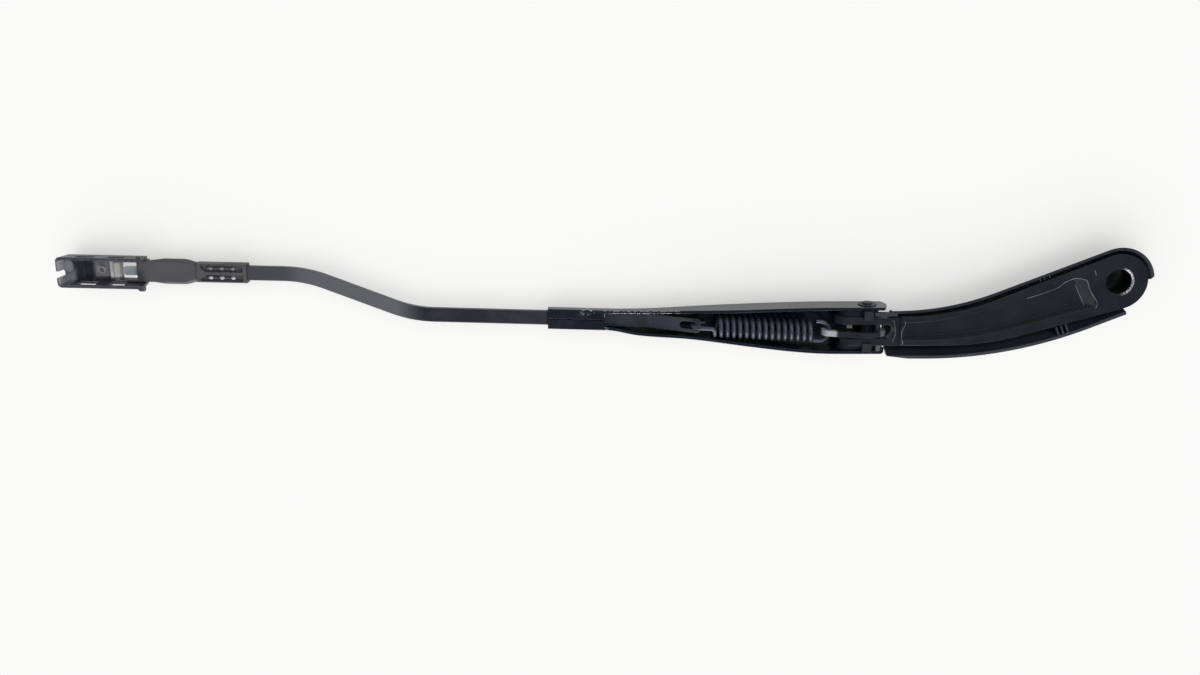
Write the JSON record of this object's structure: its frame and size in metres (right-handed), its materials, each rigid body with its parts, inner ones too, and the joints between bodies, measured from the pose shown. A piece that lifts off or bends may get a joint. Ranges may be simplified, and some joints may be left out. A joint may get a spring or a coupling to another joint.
{
  "type": "wiper arm",
  "caption": "Sprung front wiper arm: spindle head with cover, folded channel hinged on it, flat rod with an S-bend and a snap-in blade connector.",
  "frame": {"origin": "on the spindle bore's axis, at the mouth of the bore on the head's underside", "axes": "+Z out of the bore's mouth towards the glass, +X along the arm from the spindle to the blade connector"},
  "size_m": [0.6205, 0.0653, 0.028],
  "materials": {
    "head_black": "black coated casting, satin",
    "cover_black": "moulded black plastic, satin",
    "bush_black": "moulded plastic",
    "pin_steel": "dark steel",
    "link_steel": "greyed steel",
    "spring_steel": "dark coated spring steel",
    "channel_black": "gloss black paint, chipped at the edges",
    "rod_black": "satin black paint",
    "connector_grey": "satin dark grey coating",
    "housing_grey": "moulded plastic",
    "clip_steel": "bare spring steel"
  },
  "bodies": {
    "head": {"mounting_head": "head_black", "head_cover": "cover_black", "pivot_bush_north": "bush_black", "pivot_bush_south": "bush_black", "spring_anchor_pin": "pin_steel"},
    "arm": {"arm_channel": "channel_black", "pivot_rivet": "pin_steel", "arm_rod": "rod_black", "blade_connector": "connector_grey", "connector_housing": "housing_grey", "lock_clip": "clip_steel"},
    "link": {"spring_link": "link_steel", "tension_spring": "spring_steel"}
  },
  "joints": [
    {"name": "knuckle", "type": "hinge", "parent": "head", "child": "arm", "pos_m": [0.1384, 0.0297, -0.0105], "axis": [0, 1, 0], "range_deg": [0, 50], "stiffness_Nm_per_rad": 2, "springref_deg": -85.94, "deforming": ["tension_spring"]},
    {"name": "link_swing", "type": "hinge", "parent": "head", "child": "link", "pos_m": [0.1329, 0.031, -0.0055], "axis": [0, 1, 0], "range_deg": [0, 47]}
  ],
  "couplings": [
    {"joint": "link_swing", "follows": "knuckle", "ratio": 0.935}
  ]
}
